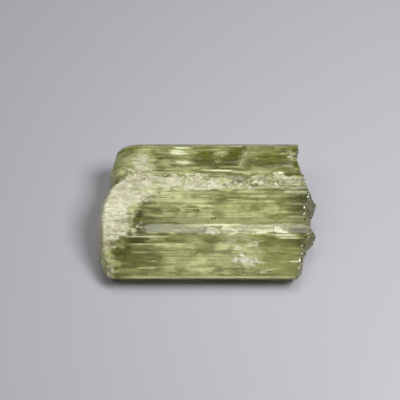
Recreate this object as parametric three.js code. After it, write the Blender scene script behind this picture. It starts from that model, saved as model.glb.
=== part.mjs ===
// A natural hiddenite crystal, which is green spodumene: one flattened, striated prism that lies on its broad side.
// X runs along the crystal's length, Y across it towards the higher back ridge, and Z up from the face it rests on.
// The body is a row of closed loops, one at each place across the width. A loop runs along the top, down the
// splintery right end, back along the bottom and up the rounded left end.

import * as THREE from "three";
import { mergeVertices } from "three/addons/utils/BufferGeometryUtils.js";

// Driving dimensions, in millimetres.
const LENGTH = 30;
const WIDTH = 18.5;
const HEIGHT = 8;

// The top of the cross-section, from its back tip to its front tip, as [share of WIDTH, share of HEIGHT].
const TOP_OUTLINE = [
  [0.5, 0.4], // back tip
  [0.478, 0.91], // back shoulder
  [0.44, 1.0], // crest of the back ridge
  [0.31, 0.755], // foot of the ridge's front face
  [0.252, 0.74], // groove between the ridge and the slab
  [0.236, 0.85], // crumbly rim of the slab
  [0.215, 0.87],
  [0.115, 0.845], // start of the slab's clear top
  [-0.1, 0.745], // edge of the slab's top
  [-0.126, 0.635], // foot of the first step
  [-0.207, 0.615], // shelf
  [-0.262, 0.475], // foot of the second step
  [-0.49, 0.325], // long front slope
  [-0.5, 0.285], // front tip
];

// The bottom of the cross-section, the same way: two undercut sides and the flat face that the crystal rests on.
const BOTTOM_OUTLINE = [
  [0.5, 0.4],
  [0.435, 0.045],
  [0.375, 0],
  [-0.345, 0],
  [-0.455, 0.065],
  [-0.5, 0.285],
];

// Each end seen from above, from the back to the front, as [share of WIDTH, share of LENGTH].
const LEFT_END = [
  [0.5, -0.4],
  [0.44, -0.415],
  [0.385, -0.426],
  [0.3, -0.437],
  [0.2, -0.435], // notch between the ridge and the slab
  [0.1, -0.463],
  [0.0, -0.48],
  [-0.1, -0.489],
  [-0.2, -0.491],
  [-0.3, -0.484],
  [-0.4, -0.46],
  [-0.47, -0.428],
  [-0.5, -0.4],
];
const RIGHT_END = [
  [0.5, 0.418],
  [0.44, 0.422],
  [0.37, 0.41], // hollow in the end of the ridge
  [0.28, 0.445],
  [0.165, 0.475],
  [0.063, 0.5], // longest splinter
  [-0.063, 0.475],
  [-0.168, 0.497], // second splinter
  [-0.258, 0.462],
  [-0.445, 0.42],
  [-0.5, 0.402],
];

// How round the left end is, and how far the broken right end leans back at the top, from the back to the front, as
// [share of WIDTH, millimetres].
const LEFT_ROUNDING = [
  [0.5, 1.9],
  [0.3, 1.5],
  [0.2, 2.2],
  [-0.4, 2.2],
  [-0.5, 0.8],
];
const RIGHT_LEAN = [
  [0.5, 0],
  [0.3, 0.1],
  [0.2, 1.1],
  [-0.5, 1.1],
];

// How far the right end leans back at the bottom, and its splinters: each lath of the crystal breaks in a few layers.
const LEAN_BELOW = 0.6;
const SPLINTER_DEPTH = 0.45;
const SPLINTER_WIDTH = 1.3;
const SPLINTER_LAYERS = 3;

// Striations are fine grooves along X, in every face but the one that the crystal rests on.
const STRIATION_DEPTH = 0.09;

// How finely the surface is divided: across the width, along the top and bottom, and down each end.
const LOOP_SPACING = 0.42;
const SMALLEST_SPACING = 0.02;
const STATIONS = 12;
const END_ROWS = 10;

/** An outline's shares as points in millimetres. */
function outline(shares, firstSize, secondSize) {
  return shares.map(([first, second]) => new THREE.Vector2(first * firstSize, second * secondSize));
}

/** What an outline's second coordinate is at a place across the width. Its points run from back to front. */
function valueAt(points, across) {
  const found = points.findIndex((point) => point.x <= across);
  const next = found < 1 ? 1 : found;
  const [a, b] = [points[next - 1], points[next]];
  return THREE.MathUtils.mapLinear(across, a.x, b.x, a.y, b.y);
}

/** A fixed number from 0 to 1 for each whole number, which looks random. */
function scatter(whole) {
  const spread = Math.sin(whole * 12.9898) * 43758.5453;
  return spread - Math.floor(spread);
}

/** The places across the width that get a loop, from back to front: every corner, and even steps along the top. */
function placesAcross(top, bottom) {
  const places = bottom.map((point) => point.x);
  for (let i = 1; i < top.length; i++) {
    const steps = Math.ceil(top[i].distanceTo(top[i - 1]) / LOOP_SPACING);
    for (let k = 0; k <= steps; k++) {
      places.push(THREE.MathUtils.lerp(top[i - 1].x, top[i].x, k / steps));
    }
  }
  places.sort((a, b) => b - a);
  return places.filter((place, i) => i === 0 || places[i - 1] - place > SMALLEST_SPACING);
}

/** The route of a loop, as [share of the way from the left end to the right, level from -1 at the bottom to 1]. */
function loopRoute() {
  const steps = (count) => [...Array(count).keys()].map((i) => i / count);
  const levels = steps(END_ROWS).map((share) => Math.cos(Math.PI * share));
  return [
    ...steps(STATIONS).map((share) => [share, 1]),
    ...levels.map((level) => [1, level]),
    ...steps(STATIONS).map((share) => [1 - share, -1]),
    ...levels.map((level) => [0, -level]),
  ];
}

/** X of the etched left end, which is round from top to bottom. */
function leftEnd(across, level) {
  const rounding = valueAt(outline(LEFT_ROUNDING, WIDTH, 1), across);
  return valueAt(outline(LEFT_END, WIDTH, LENGTH), across) + rounding * (1 - Math.sqrt(1 - level * level));
}

/** X of the broken right end, which leans back and steps from one lath of the crystal to the next. */
function rightEnd(across, level) {
  const lean = level > 0 ? valueAt(outline(RIGHT_LEAN, WIDTH, 1), across) * level : -LEAN_BELOW * level;
  const lath = Math.floor(across / SPLINTER_WIDTH) * SPLINTER_LAYERS;
  const layer = Math.min(Math.floor(((level + 1) * SPLINTER_LAYERS) / 2), SPLINTER_LAYERS - 1);
  return valueAt(outline(RIGHT_END, WIDTH, LENGTH), across) - lean - SPLINTER_DEPTH * scatter(lath + layer);
}

/** The crystal's closed surface, with its origin under the middle of its box, on the face it rests on. */
function crystalGeometry() {
  const top = outline(TOP_OUTLINE, WIDTH, HEIGHT);
  const bottom = outline(BOTTOM_OUTLINE, WIDTH, HEIGHT);
  const places = placesAcross(top, bottom);
  const route = loopRoute();

  const points = places.flatMap((across, j) => {
    const isTip = j === 0 || j === places.length - 1;
    const groove = isTip ? 0 : STRIATION_DEPTH * scatter(j);
    const low = valueAt(bottom, across);
    const lowest = low > 0 ? low + groove : 0;
    const highest = valueAt(top, across) - groove;
    return route.map(([share, level]) => {
      // At the two tips the top and bottom meet in one edge, so every level ends where the middle one does.
      const endLevel = isTip ? 0 : level;
      const from = leftEnd(across, endLevel);
      const to = rightEnd(across, endLevel);
      const height = THREE.MathUtils.mapLinear(level, -1, 1, lowest, highest);
      return new THREE.Vector3(THREE.MathUtils.lerp(from, to, share), across, height);
    });
  });

  const around = route.length;
  const faces = [];
  for (let j = 1; j < places.length; j++) {
    for (let i = 0; i < around; i++) {
      const next = (i + 1) % around;
      const [a, b] = [(j - 1) * around + i, (j - 1) * around + next];
      const [c, d] = [j * around + i, j * around + next];
      faces.push(a, c, b, b, c, d);
    }
  }

  const closed = mergeVertices(new THREE.BufferGeometry().setFromPoints(points).setIndex(faces), 1e-4);
  closed.computeBoundingBox();
  const { min, max } = closed.boundingBox;
  closed.translate(-(min.x + max.x) / 2, -(min.y + max.y) / 2, -min.z);
  closed.computeVertexNormals();
  return closed;
}

const spodumene = new THREE.MeshStandardMaterial({
  name: "spodumene",
  color: 0xa3a86a,
  roughness: 0.15,
  metalness: 0,
  transparent: true,
  opacity: 0.75,
});

const crystal = new THREE.Mesh(crystalGeometry(), spodumene);
crystal.name = "crystal";

const hiddenite = new THREE.Group();
hiddenite.add(crystal);

export default hiddenite;
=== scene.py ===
"""The looks of a natural hiddenite crystal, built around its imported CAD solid.

Hiddenite is green spodumene. The crystal is one flattened prism with fine grooves along its length (X),
an etched round end on the left (-X), a splintery break on the right (+X), and a higher ridge along its
back (+Y). Lengths are in millimetres until a mesh is made.
"""

from __future__ import annotations

import logging
import math
from dataclasses import dataclass, field

import bpy
import numpy as np
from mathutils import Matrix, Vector

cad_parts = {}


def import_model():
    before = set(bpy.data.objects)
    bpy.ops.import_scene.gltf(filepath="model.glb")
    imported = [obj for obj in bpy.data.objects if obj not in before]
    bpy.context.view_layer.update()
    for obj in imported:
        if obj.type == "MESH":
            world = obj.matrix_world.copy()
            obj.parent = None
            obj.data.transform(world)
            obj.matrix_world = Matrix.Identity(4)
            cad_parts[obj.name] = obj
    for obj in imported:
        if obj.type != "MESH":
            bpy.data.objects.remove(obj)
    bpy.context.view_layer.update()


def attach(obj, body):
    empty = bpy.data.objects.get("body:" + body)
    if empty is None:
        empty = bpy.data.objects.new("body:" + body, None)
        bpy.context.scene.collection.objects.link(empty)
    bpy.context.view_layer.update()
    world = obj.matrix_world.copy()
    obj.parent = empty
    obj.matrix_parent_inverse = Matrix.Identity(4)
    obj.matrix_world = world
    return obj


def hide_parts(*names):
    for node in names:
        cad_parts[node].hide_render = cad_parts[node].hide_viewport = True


Array = np.ndarray
Socket = bpy.types.NodeSocket
Tree = bpy.types.NodeTree
Span = tuple[float, float]  # the two values between which something goes from 0 to 1, or is drawn at random

MM = 0.001  # metres in a millimetre
BODY = "root"
CAD_NODE = "crystal"
FULL_SIZE = (30.0, 18.5, 8.0)  # the length, width and height that the CAD solid's outlines are shares of

log = logging.getLogger("hiddenite")

# ----------------------------------------------------------------------------------------------------
# Shared shape helpers


def smooth_step(low: float, high: float, value: Array) -> Array:
    """0 below low, 1 above high, and the cubic 3t^2 - 2t^3 between them. low may be the larger."""
    t = np.clip((value - low) / (high - low), 0.0, 1.0)
    return t * t * (3.0 - 2.0 * t)


def mixed(a: Array, b: Array, share: Array) -> Array:
    """a where share is 0 and b where share is 1."""
    return a + (b - a) * share


def scrambled(number: Array) -> Array:
    """A value from 0 to 1 for each whole number: the fraction of a large multiple of its sine."""
    spread = np.sin(number * 12.9898) * 43758.5453
    return spread - np.floor(spread)


def follow(line: tuple, at: Array, first: float = 1.0, second: float = 1.0) -> Array:
    """Reads a line of (place, value) points, listed from the highest place to the lowest, at other places.

    Args:
        line: the points.
        at: the places.
        first: what the points' places are shares of.
        second: what their values are shares of.

    Returns:
        The value at each place, straight between the points.
    """
    points = np.array(line)[::-1] * (first, second)
    return np.interp(at, points[:, 0], points[:, 1])


@dataclass
class Noise:
    """Smooth random values from 0 to 1 on a plane, the same ones for the same seed."""

    seed: int
    cells: int = 256
    layer_shift: tuple[float, float] = (17.3, 9.1)  # keeps the layers' lattices apart
    table: Array = field(init=False, repr=False)

    def __post_init__(self) -> None:
        """Draws the lattice."""
        self.table = np.random.default_rng(self.seed).random((self.cells, self.cells))

    def cell(self, column: Array, row: Array) -> Array:
        """The random value of a lattice cell."""
        return self.table[row.astype(int) % self.cells, column.astype(int) % self.cells]

    def at(self, u: Array, v: Array, soft: float = 1.0) -> Array:
        """Blends the four cells around each place by the cubic 3t^2 - 2t^3 both ways.

        Args:
            u, v: the places, in cells.
            soft: the share of a cell that the blend takes. A low value gives blocks with soft edges.

        Returns:
            The values, from 0 to 1.
        """
        column, row = np.floor(u), np.floor(v)
        low, high = 0.5 - soft / 2.0, 0.5 + soft / 2.0
        across = smooth_step(low, high, u - column)
        up = smooth_step(low, high, v - row)
        near = mixed(self.cell(column, row), self.cell(column + 1, row), across)
        far = mixed(self.cell(column, row + 1), self.cell(column + 1, row + 1), across)
        return mixed(near, far, up)

    def layered(self, u: Array, v: Array, layers: int, soft: float = 1.0) -> Array:
        """Adds several sizes of the noise, each twice as fine and half as strong as the one before.

        Args:
            u, v: the places, in cells of the coarsest size.
            layers: how many sizes.
            soft: as for at.

        Returns:
            The sum, scaled back to 0 to 1.
        """
        total, reach = 0.0, 0.0
        for k in range(layers):
            shift_u, shift_v = self.layer_shift
            total = total + 0.5**k * self.at(u * 2.0**k + shift_u * k, v * 2.0**k + shift_v * k, soft)
            reach += 0.5**k
        return total / reach


@dataclass(frozen=True)
class Grain:
    """A pattern of layered noise.

    along, across: the size of its cells. start: where it's read in the noise, in cells, so that no two
    patterns are alike. layers: how many sizes it adds. soft: the share of a cell that the blend takes.
    """

    along: float
    across: float
    start: tuple[float, float]
    layers: int
    soft: float = 1.0

    def of(self, noise: Noise, x: Array, y: Array) -> Array:
        """The pattern's value at each point, from 0 to 1."""
        u, v = x / self.along + self.start[0], y / self.across + self.start[1]
        return noise.layered(u, v, self.layers, self.soft)


@dataclass(frozen=True)
class Patch:
    """A soft-edged region of the surface seen from above: a rounded box whose edge noise makes ragged.

    x, y: its middle. half_x, half_y: half its size. strength: its value inside. edge: how wide its edge is.
    ragged: how far noise moves the edge. turn: its angle in degrees, anticlockwise from X.
    """

    x: float
    y: float
    half_x: float
    half_y: float
    strength: float = 1.0
    edge: float = 0.4
    ragged: float = 0.5
    turn: float = 0.0

    def cover(self, x: Array, y: Array, wobble: Array) -> Array:
        """How much of the patch shows at each point.

        The distance to the edge is that of a rounded box: 1 less the fourth root of the sum of
        (dx / half_x)^4 and (dy / half_y)^4.

        Args:
            x, y: the points.
            wobble: noise from -1 to 1 that moves the edge.

        Returns:
            Values from 0 to strength.
        """
        angle = math.radians(self.turn)
        along = (x - self.x) * math.cos(angle) + (y - self.y) * math.sin(angle)
        across = (y - self.y) * math.cos(angle) - (x - self.x) * math.sin(angle)
        far = ((along / self.half_x) ** 4 + (across / self.half_y) ** 4) ** 0.25
        inside = (1.0 - far) * min(self.half_x, self.half_y)
        return self.strength * smooth_step(-self.edge, self.edge, inside + wobble * self.ragged)


def patches(*rows: tuple[float, ...]) -> tuple[Patch, ...]:
    """Patches from rows of their values, in the order in which Patch lists them."""
    return tuple(Patch(*row) for row in rows)


def covered(regions: tuple[Patch, ...], x: Array, y: Array, wobble: Array) -> Array:
    """The most that any of the patches covers each point."""
    return np.max([patch.cover(x, y, wobble) for patch in regions], axis=0)


@dataclass(frozen=True)
class Laths:
    """One size of the grooves that run along a growth face, as rows of long low ridges side by side.

    A ridge is half a sine wave, and its strength goes up and down along X: it stands out over the span
    stands, and is where the painted highlight lines and painted shade lines go over the span shows. spacing:
    across the grooves. height: of the tallest ridge. reach: how far one runs before it changes. seed: chooses
    which ridges stand out where.
    uneven: how many ridges their rows wander by, over spell ridges. row_shift: keeps the noise of
    neighbouring ridges apart. crest: the power that narrows a line to its ridge's crest.
    """

    spacing: float
    height: float
    reach: float
    seed: int
    uneven: float = 0.8
    spell: float = 3.0
    row_shift: float = 31.0
    stands: Span = (0.25, 0.75)
    shows: Span = (0.8, 0.86)
    crest: int = 4

    def ridges(self, x: Array, across: Array) -> tuple[Array, Array]:
        """Splits the surface into ridges.

        Args:
            x: the place along the crystal.
            across: the place across it, measured along its outline.

        Returns:
            The half sine across each ridge, and how strong the ridge is at each point, both from 0 to 1.
        """
        noise = Noise(self.seed)
        rows = across / self.spacing
        rows = rows + self.uneven * noise.at(across / self.spacing / self.spell, 0.0 * across)
        row = np.floor(rows)
        return np.sin(np.pi * (rows - row)), noise.at(x / self.reach + self.row_shift * row, row)

    def relief(self, x: Array, across: Array) -> Array:
        """How far each point stands out."""
        ridge, strong = self.ridges(x, across)
        return self.height * ridge * smooth_step(*self.stands, strong)

    def lit(self, x: Array, across: Array) -> Array:
        """Where the painted highlight lines and painted shade lines go: thin and straight, with long gaps,
        along the crests of the ridges, from 0 to 1.
        """
        ridge, strong = self.ridges(x, across)
        return ridge**self.crest * smooth_step(*self.shows, strong)


def mesh_piece(name: str, points: Array, faces: Array, values: dict[str, Array]) -> bpy.types.Object:
    """Makes a mesh object that rides on the crystal's body.

    Args:
        name: the piece's name.
        points: its corners in millimetres.
        faces: the corner numbers of each face, all faces with as many corners.
        values: numbers for its material to read, one for each corner, by name.

    Returns:
        The new object.
    """
    mesh = bpy.data.meshes.new(name)
    mesh.from_pydata((points * MM).tolist(), [], faces.tolist())
    mesh.update()
    for key, value in values.items():
        attribute = mesh.attributes.new(key, "FLOAT", "POINT")
        attribute.data.foreach_set("value", value.ravel().astype(np.float32))
    piece = bpy.data.objects.new(name, mesh)
    bpy.context.scene.collection.objects.link(piece)
    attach(piece, BODY)
    return piece


# ----------------------------------------------------------------------------------------------------
# Materials


def linear(hex_colour: str) -> tuple[float, float, float, float]:
    """Turns an sRGB colour into the linear colour that Blender's shaders take.

    Args:
        hex_colour: the colour, such as "#a3b86c".

    Returns:
        Linear red, green and blue, and an alpha of 1.
    """
    parts = [int(hex_colour[i : i + 2], 16) / 255.0 for i in (1, 3, 5)]
    red, green, blue = (p / 12.92 if p <= 0.04045 else ((p + 0.055) / 1.055) ** 2.4 for p in parts)
    return (red, green, blue, 1.0)


def add_node(tree: Tree, kind: str, links: dict | None = None, **settings: object) -> bpy.types.Node:
    """Adds a node.

    Args:
        tree: where it goes.
        kind: its type in Blender.
        links: a value, or the output to link, for each of its inputs by name or number.
        settings: its properties.

    Returns:
        The node.
    """
    node = tree.nodes.new(kind)
    for key, value in settings.items():
        setattr(node, key, value)
    for key, value in (links or {}).items():
        if isinstance(value, Socket):
            tree.links.new(value, node.inputs[key])
        else:
            node.inputs[key].default_value = value
    return node


@dataclass(frozen=True)
class Ramp:
    """Maps a value that goes from low to high onto first to last, and stops at those."""

    low: float
    high: float
    first: float = 0.0
    last: float = 1.0

    def of(self, value: Socket) -> dict[str, Socket | float]:
        """The inputs of a Map Range node that maps the value."""
        ends = {"From Min": self.low, "From Max": self.high, "To Min": self.first, "To Max": self.last}
        return {"Value": value, **ends}


@dataclass(frozen=True)
class Spodumene:
    """Gem spodumene: glassy and see-through, with the iron and chromium that colour it yellow-green.

    It is clear on its growth faces, satin white where acid has etched it, and milky where healed cracks
    reach the surface. The mesh's values frost, haze and stain say how much of each there is; the haze value
    also carries painted glints and highlights, and the stain value painted shade. Each pattern is given by
    its cells' size in millimetres along X and across it.
    """

    name: str = "gem_spodumene"
    ior: float = 1.66
    absorbs: str = "#eff564"  # it takes mostly violet and blue out of white light
    density: float = 100.0  # how strongly, for each metre that the light goes
    clear: str = "#ffffff"  # the surface itself tints nothing
    etched: str = "#fcf5e4"
    etched_stained: str = "#d2d1a4"
    milky: str = "#dce0a4"
    bright: str = "#f8fdd8"  # painted glint: the colour of the brightest glints and edge highlights
    stain_and_shade_colour: str = "#76732c"  # clay and iron in the cracks underneath, and the painted shade of the dark windows and lines
    grain: tuple[float, float] = (0.5, 0.17)  # the etched skin's, coarser than real pits so that it shows
    flake: tuple[float, float] = (0.6, 0.14)  # the pieces that its edge and a cracked place break into
    blotch: tuple[float, float] = (1.8, 0.4)  # where the etched skin is yellowed
    streak: tuple[float, float] = (5.0, 0.13)  # the fine lines that a milky cloud is made of
    flaking: float = 0.45  # how far grain and flakes add to the frost value before it shows
    shows: Ramp = Ramp(0.84, 1.0)  # from that sum to how much etched skin there is
    thick: Ramp = Ramp(0.35, 0.6, 0.7, 1.0)  # from the grain to how white the skin is
    lined: Ramp = Ramp(0.3, 0.7, 0.7, 1.2)  # from the streaks to how milky a cloud is
    yellowed: Ramp = Ramp(0.35, 0.7)  # from the blotches to the yellowed skin's colour
    flaring: Ramp = Ramp(0.8, 1.2)  # from the haze value to the painted glints' colour
    hazed: Ramp = Ramp(0.0, 0.12)  # from how white a place is to how much of its colour shows
    roughness: Ramp = Ramp(0.0, 1.0, 0.1, 0.6)  # from clear to etched
    clearness: Ramp = Ramp(0.0, 1.0, 1.0, 0.05)  # how much light passes, from clear to white
    bump: float = 0.05  # the height of the etched skin's grain

    def fibrous(self, tree: Tree, size: tuple[float, float], detail: float) -> Socket:
        """Adds a pattern that is drawn out along the crystal, as all of its flaws are.

        Args:
            tree: where it goes.
            size: its cells' size in millimetres, along X and across it.
            detail: how many finer sizes it adds.

        Returns:
            The pattern's value.
        """
        place = add_node(tree, "ShaderNodeTexCoord").outputs["Object"]
        along, across = (1.0 / (cell * MM) for cell in size)
        stretched = add_node(tree, "ShaderNodeMapping", {"Vector": place, "Scale": (along, across, across)})
        links = {"Vector": stretched.outputs[0], "Scale": 1.0, "Detail": detail}
        return add_node(tree, "ShaderNodeTexNoise", links).outputs[0]

    def whiteness(self, tree: Tree, grain: Socket, haze_and_glints: Socket) -> tuple[Socket, Socket]:
        """Works out how white the surface is.

        The etched skin is where frost and a share of grain plus flake pass an edge, so that it ends in
        flakes. A milky cloud, with the painted glints, is the haze value times its fine lines.

        Args:
            tree: where the nodes go.
            grain: the etched skin's grain.
            haze_and_glints: the mesh's value for milky clouds, painted glints and painted highlights.

        Returns:
            How much etched skin there is, and how white the surface is: the more of skin, and of cloud and
            painted glint.
        """
        flake = self.fibrous(tree, self.flake, 3.0)
        streak = self.fibrous(tree, self.streak, 3.0)
        frost = add_node(tree, "ShaderNodeAttribute", attribute_name="frost").outputs["Fac"]
        flaky = add_node(tree, "ShaderNodeMath", {0: flake, 1: grain}, operation="ADD").outputs[0]
        links = {0: flaky, 1: self.flaking, 2: frost}
        loose = add_node(tree, "ShaderNodeMath", links, operation="MULTIPLY_ADD").outputs[0]
        skin = add_node(tree, "ShaderNodeMapRange", self.shows.of(loose)).outputs[0]
        thick = add_node(tree, "ShaderNodeMapRange", self.thick.of(grain)).outputs[0]
        broken = add_node(tree, "ShaderNodeMath", {0: skin, 1: thick}, operation="MULTIPLY").outputs[0]
        lined = add_node(tree, "ShaderNodeMapRange", self.lined.of(streak)).outputs[0]
        veil = add_node(tree, "ShaderNodeMath", {0: haze_and_glints, 1: lined}, operation="MULTIPLY").outputs[0]
        links = {0: broken, 1: veil}
        white = add_node(tree, "ShaderNodeMath", links, operation="MAXIMUM", use_clamp=True).outputs[0]
        return broken, white

    def colour(self, tree: Tree, haze_and_glints: Socket, broken: Socket, white: Socket) -> Socket:
        """Works out the colour: cream skin over milky clouds and painted glints over clear crystal, with
        stains and painted shade on top.

        In each mix, input 0 is the share, and 6 and 7 are the colours where it is 0 and 1.

        Args:
            tree: where the nodes go.
            haze_and_glints: the mesh's value for milky clouds, painted glints and painted highlights.
            broken: how much etched skin there is.
            white: how white the surface is.

        Returns:
            The colour.
        """
        blotch = self.fibrous(tree, self.blotch, 4.0)
        # the mesh's stains, with its painted shade
        stain_and_shade = add_node(tree, "ShaderNodeAttribute", attribute_name="stain_and_shade").outputs["Fac"]
        yellowed = add_node(tree, "ShaderNodeMapRange", self.yellowed.of(blotch)).outputs[0]
        links = {0: yellowed, 6: linear(self.etched), 7: linear(self.etched_stained)}
        cream = add_node(tree, "ShaderNodeMix", links, data_type="RGBA").outputs[2]
        flaring = add_node(tree, "ShaderNodeMapRange", self.flaring.of(haze_and_glints)).outputs[0]
        links = {0: flaring, 6: linear(self.milky), 7: linear(self.bright)}
        veiled = add_node(tree, "ShaderNodeMix", links, data_type="RGBA").outputs[2]
        links = {0: broken, 6: veiled, 7: cream}
        pale = add_node(tree, "ShaderNodeMix", links, data_type="RGBA").outputs[2]
        hazed = add_node(tree, "ShaderNodeMapRange", self.hazed.of(white)).outputs[0]
        links = {0: hazed, 6: linear(self.clear), 7: pale}
        clean = add_node(tree, "ShaderNodeMix", links, data_type="RGBA").outputs[2]
        links = {0: stain_and_shade, 6: clean, 7: linear(self.stain_and_shade_colour)}
        return add_node(tree, "ShaderNodeMix", links, data_type="RGBA").outputs[2]

    def build(self) -> bpy.types.Material:
        """Makes the material: a see-through shader over a volume that absorbs.

        Returns:
            The material.
        """
        material = bpy.data.materials.new(self.name)
        material.use_nodes = True
        tree = material.node_tree
        tree.nodes.clear()
        grain = self.fibrous(tree, self.grain, 4.0)
        # the mesh's milky clouds, with its painted glints and highlights
        haze_and_glints = add_node(tree, "ShaderNodeAttribute", attribute_name="haze_and_glints").outputs["Fac"]
        broken, white = self.whiteness(tree, grain, haze_and_glints)
        links = {"Height": grain, "Strength": broken, "Distance": self.bump * MM}
        links = {
            "Base Color": self.colour(tree, haze_and_glints, broken, white),
            "Roughness": add_node(tree, "ShaderNodeMapRange", self.roughness.of(broken)).outputs[0],
            "Transmission Weight": add_node(tree, "ShaderNodeMapRange", self.clearness.of(white)).outputs[0],
            "IOR": self.ior,
            "Normal": add_node(tree, "ShaderNodeBump", links).outputs[0],
        }
        surface = add_node(tree, "ShaderNodeBsdfPrincipled", links).outputs[0]
        links = {"Color": linear(self.absorbs), "Density": self.density}
        volume = add_node(tree, "ShaderNodeVolumeAbsorption", links).outputs[0]
        add_node(tree, "ShaderNodeOutputMaterial", {"Surface": surface, "Volume": volume})
        return material


@dataclass(frozen=True)
class Plain:
    """A finish that is the same all over."""

    name: str
    colour: str
    roughness: float
    ior: float = 1.5

    def build(self) -> bpy.types.Material:
        """Sets one colour, roughness and index on a plain shader.

        Returns:
            The material.
        """
        material = bpy.data.materials.new(self.name)
        material.use_nodes = True
        shader = material.node_tree.nodes["Principled BSDF"]
        shader.inputs["Base Color"].default_value = linear(self.colour)
        shader.inputs["Roughness"].default_value = self.roughness
        shader.inputs["IOR"].default_value = self.ior
        return material


# Fluid sealed in a healed crack: its edges throw the light back, so each drop and tube shines white.
HEALED_CRACK = Plain("healed_crack", "#f4f3e4", roughness=0.5, ior=1.33)
# Smooth matt paint, which takes a soft shadow.
TABLE_PAINT = Plain("table_paint", "#afafb5", roughness=0.35)


# ----------------------------------------------------------------------------------------------------
# The crystal

# The cross-section's top, from the back tip to the front tip, as shares of the width and the height.
TOP_OUTLINE = (
    (0.5, 0.4), (0.478, 0.91), (0.44, 1.0), (0.31, 0.755), (0.281, 0.732), (0.252, 0.74), (0.236, 0.85),
    (0.215, 0.87), (0.115, 0.845), (-0.1, 0.745), (-0.126, 0.635), (-0.207, 0.615), (-0.262, 0.475),
    (-0.49, 0.325), (-0.5, 0.285),
)
# The same where the left end is etched, which has worn the steps away.
WORN_OUTLINE = (
    (0.5, 0.4), (0.478, 0.91), (0.44, 1.0), (0.31, 0.765), (0.252, 0.78), (0.2, 0.835), (0.1, 0.82),
    (-0.05, 0.75), (-0.2, 0.62), (-0.35, 0.45), (-0.47, 0.34), (-0.5, 0.285),
)
# The same below.
BOTTOM_OUTLINE = (
    (0.5, 0.4), (0.435, 0.045), (0.375, 0.0), (-0.345, 0.0), (-0.455, 0.065), (-0.5, 0.285),
)
# The two ends seen from above, from the back tip to the front tip, as shares of the width and the length.
LEFT_END = (
    (0.5, -0.389), (0.47, -0.412), (0.44, -0.422), (0.385, -0.434), (0.3, -0.443), (0.2, -0.437),
    (0.1, -0.462), (0.04, -0.476), (0.0, -0.486), (-0.1, -0.49), (-0.2, -0.488), (-0.3, -0.486),
    (-0.4, -0.472), (-0.47, -0.443), (-0.5, -0.41),
)
RIGHT_END = (
    (0.5, 0.418), (0.47, 0.425), (0.44, 0.424), (0.37, 0.412), (0.28, 0.442), (0.165, 0.474), (0.07, 0.509),
    (-0.04, 0.477), (-0.1, 0.477), (-0.165, 0.506), (-0.245, 0.464), (-0.445, 0.425), (-0.5, 0.41),
)

# How round the left end is, and how far the right end leans back at the top, in millimetres, by the share of
# the width.
LEFT_ROUNDING = (
    (0.5, 3.0), (0.42, 3.2), (0.3, 1.7), (0.2, 1.3), (0.0, 0.9), (-0.3, 0.9), (-0.42, 1.5), (-0.5, 0.8),
)
RIGHT_LEAN = (
    (0.5, 0.0), (0.25, 0.1), (0.15, 0.8), (0.0, 1.2), (-0.15, 1.0), (-0.28, 0.5), (-0.5, 0.35),
)

# How far to the right the etched white skin reaches, as (y, x) in millimetres. Its tongue is the crumbly belt
# along the slab's back rim.
SKIN_EDGE = (
    (4.75, 4.0), (4.4, 7.0), (3.0, 7.5), (2.2, 6.0), (2.1, 2.5), (1.95, -3.5), (1.3, -6.5), (0.5, -8.4),
    (0.2, -9.8), (-0.8, -10.1), (-2.2, -10.5), (-3.6, -10.6), (-4.5, -10.9), (-5.2, -12.2), (-5.8, -13.0),
    (-7.0, -13.2), (-9.0, -12.8),
)
# How far back the skin reaches, as (x, y) in millimetres: up on the ridge at the left.
SKIN_BACK = (
    (12.0, 4.3), (9.0, 3.6), (7.5, 3.25), (5.0, 3.3), (3.0, 3.15), (1.0, 3.3), (-0.6, 3.4), (-1.2, 3.7),
    (-1.9, 4.15), (-2.5, 4.1), (-3.0, 3.6), (-3.4, 4.0), (-4.0, 4.1), (-5.0, 3.95), (-6.6, 3.9),
    (-7.4, 4.5), (-8.4, 5.5), (-10.0, 4.9), (-11.0, 3.8), (-12.2, 2.9), (-13.4, 2.3),
)

# Regions of the surface, in millimetres. Each row is x, y, half_x, half_y, strength, edge, ragged and turn,
# as Patch lists them.

# Where the etched skin is thin.
THINNED = patches(
    (-4.9, 1.5, 3.2, 1.6, 0.55, 0.8, 1.2),  # in front of the belt
    (-12.2, -6.6, 1.5, 2.4, 0.28, 0.6, 0.9),  # the front left corner
    (-10.2, -1.6, 0.8, 3.0, 0.35, 0.7, 1.2),  # the skin's edge on the slab
    (-12.9, -4.2, 1.2, 0.9, 0.15, 0.6, 0.9),
    (-7.2, 3.6, 2.0, 0.6, 0.25, 0.4, 0.4),  # the belt's left end
)
# Smaller etched marks.
ETCHED = patches(
    (-10.1, 5.4, 1.4, 0.4, 0.6, 0.4, 0.3),  # the foot of the cloud on the ridge
    (-8.4, 0.85, 1.5, 0.7, 0.52, 0.25, 0.3),  # the skin's lip on the slab
    (0.6, -3.3, 0.95, 0.5, 0.61, 0.2, 0.5, -8.0),  # bruises on the shelf
    (2.8, -2.85, 0.8, 0.22, 0.6, 0.15, 0.3),
    (3.9, -3.4, 0.5, 0.35, 0.58, 0.2, 0.3, -25.0),
    (9.45, -2.9, 0.35, 0.16, 0.9, 0.06, 0.1),  # the pale wedge on the shelf
    (9.7, -3.2, 0.65, 0.16, 0.95, 0.06, 0.12),
    (9.95, -3.45, 0.95, 0.14, 0.95, 0.06, 0.12),
    (10.1, -3.65, 1.2, 0.1, 0.9, 0.06, 0.1),
    (8.2, -3.5, 1.6, 0.16, 0.6, 0.1, 0.3),  # its tail
    (11.9, -7.05, 0.9, 0.06, 0.66, 0.05, 0.05),  # scratch near the right end
)
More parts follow.
